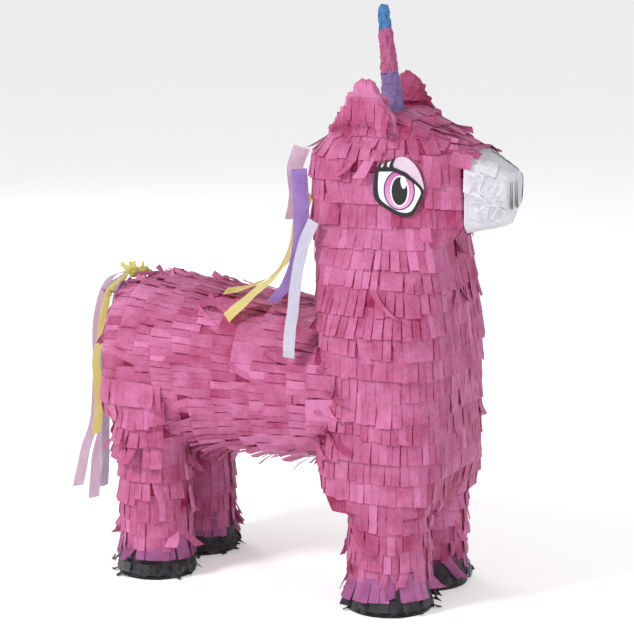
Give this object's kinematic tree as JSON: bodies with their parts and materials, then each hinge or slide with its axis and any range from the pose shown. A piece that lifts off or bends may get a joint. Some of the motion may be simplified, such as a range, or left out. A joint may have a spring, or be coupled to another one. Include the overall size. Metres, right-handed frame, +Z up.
{
  "type": "pinata",
  "caption": "Standing unicorn-shaped pinata of corrugated card covered in layered pink tissue fringe, hollow to hold sweets, with a fill flap in its back.",
  "frame": {"origin": "on the floor under the middle of the object's box, between the front and the hind legs", "axes": "+X forward to the muzzle, +Y to the animal's left, +Z up"},
  "size_m": [0.4671, 0.1753, 0.5605],
  "materials": {
    "corrugated_card": "matt brown corrugated card",
    "pink_tissue": "matt crinkled tissue paper cut in strips",
    "white_tissue": "matt crinkled tissue paper",
    "black_tissue": "matt crumpled tissue paper",
    "mauve_tissue": "matt tissue paper cut in strips",
    "purple_tissue": "twisted crinkled tissue paper",
    "magenta_tissue": "twisted crinkled tissue paper",
    "blue_tissue": "twisted crinkled tissue paper",
    "yellow_tissue": "crepe tissue ribbon",
    "gold_tissue": "crepe tissue ribbon",
    "lilac_tissue": "crepe tissue ribbon",
    "pale_pink_tissue": "crepe tissue ribbon",
    "printed_paper": "smooth printed paper sticker"
  },
  "bodies": {
    "body": {"barrel_back_panel": "corrugated_card", "barrel_belly_panel": "corrugated_card", "barrel_left_panel": "corrugated_card", "barrel_right_panel": "corrugated_card", "barrel_front_wall": "corrugated_card", "rump_shell": "corrugated_card", "chest_shell": "corrugated_card", "neck_shell": "corrugated_card", "head_shell": "corrugated_card", "muzzle_box": "corrugated_card", "horn_cone": "corrugated_card", "left_ear_card": "corrugated_card", "right_ear_card": "corrugated_card", "hanger_plate": "corrugated_card", "barrel_fringe": "pink_tissue", "rump_fringe": "pink_tissue", "chest_fringe": "pink_tissue", "neck_fringe": "pink_tissue", "head_fringe": "pink_tissue", "muzzle_wrap": "white_tissue", "left_ear_wrap": "pink_tissue", "right_ear_wrap": "pink_tissue", "left_eye_sticker": "printed_paper", "right_eye_sticker": "printed_paper", "horn_wrap_purple": "purple_tissue", "horn_wrap_pink": "magenta_tissue", "horn_wrap_blue": "blue_tissue", "mane_ribbon_yellow": "yellow_tissue", "mane_ribbon_gold": "gold_tissue", "mane_ribbon_lilac": "lilac_tissue", "mane_ribbon_pink": "pale_pink_tissue", "mane_ribbon_white": "white_tissue", "front_left_leg_tube": "corrugated_card", "front_left_hoof_sole": "black_tissue", "front_left_leg_fringe": "pink_tissue", "front_left_ankle_band": "mauve_tissue", "front_left_hoof_wrap": "black_tissue", "front_right_leg_tube": "corrugated_card", "front_right_hoof_sole": "black_tissue", "front_right_leg_fringe": "pink_tissue", "front_right_ankle_band": "mauve_tissue", "front_right_hoof_wrap": "black_tissue", "hind_left_leg_tube": "corrugated_card", "hind_left_hoof_sole": "black_tissue", "hind_left_leg_fringe": "pink_tissue", "hind_left_ankle_band": "mauve_tissue", "hind_left_hoof_wrap": "black_tissue", "hind_right_leg_tube": "corrugated_card", "hind_right_hoof_sole": "black_tissue", "hind_right_leg_fringe": "pink_tissue", "hind_right_ankle_band": "mauve_tissue", "hind_right_hoof_wrap": "black_tissue"},
    "flap": {"fill_flap": "corrugated_card", "flap_fringe": "pink_tissue"},
    "tail": {"tail_knot": "lilac_tissue", "tail_ribbon_yellow": "yellow_tissue", "tail_ribbon_pink": "pale_pink_tissue", "tail_ribbon_rose": "pale_pink_tissue", "tail_ribbon_lilac": "lilac_tissue", "tail_ribbon_white": "white_tissue"}
  },
  "joints": [
    {"name": "flap_hinge", "type": "hinge", "parent": "body", "child": "flap", "pos_m": [-0.08, 0.0343, 0.28385], "axis": [-0.9972, 0, 0.0748], "range_deg": [0, 115]},
    {"name": "tail_lift", "type": "hinge", "parent": "body", "child": "tail", "pos_m": [-0.164, 0, 0.29], "axis": [0, 1, 0], "range_deg": [0, 70]}
  ]
}
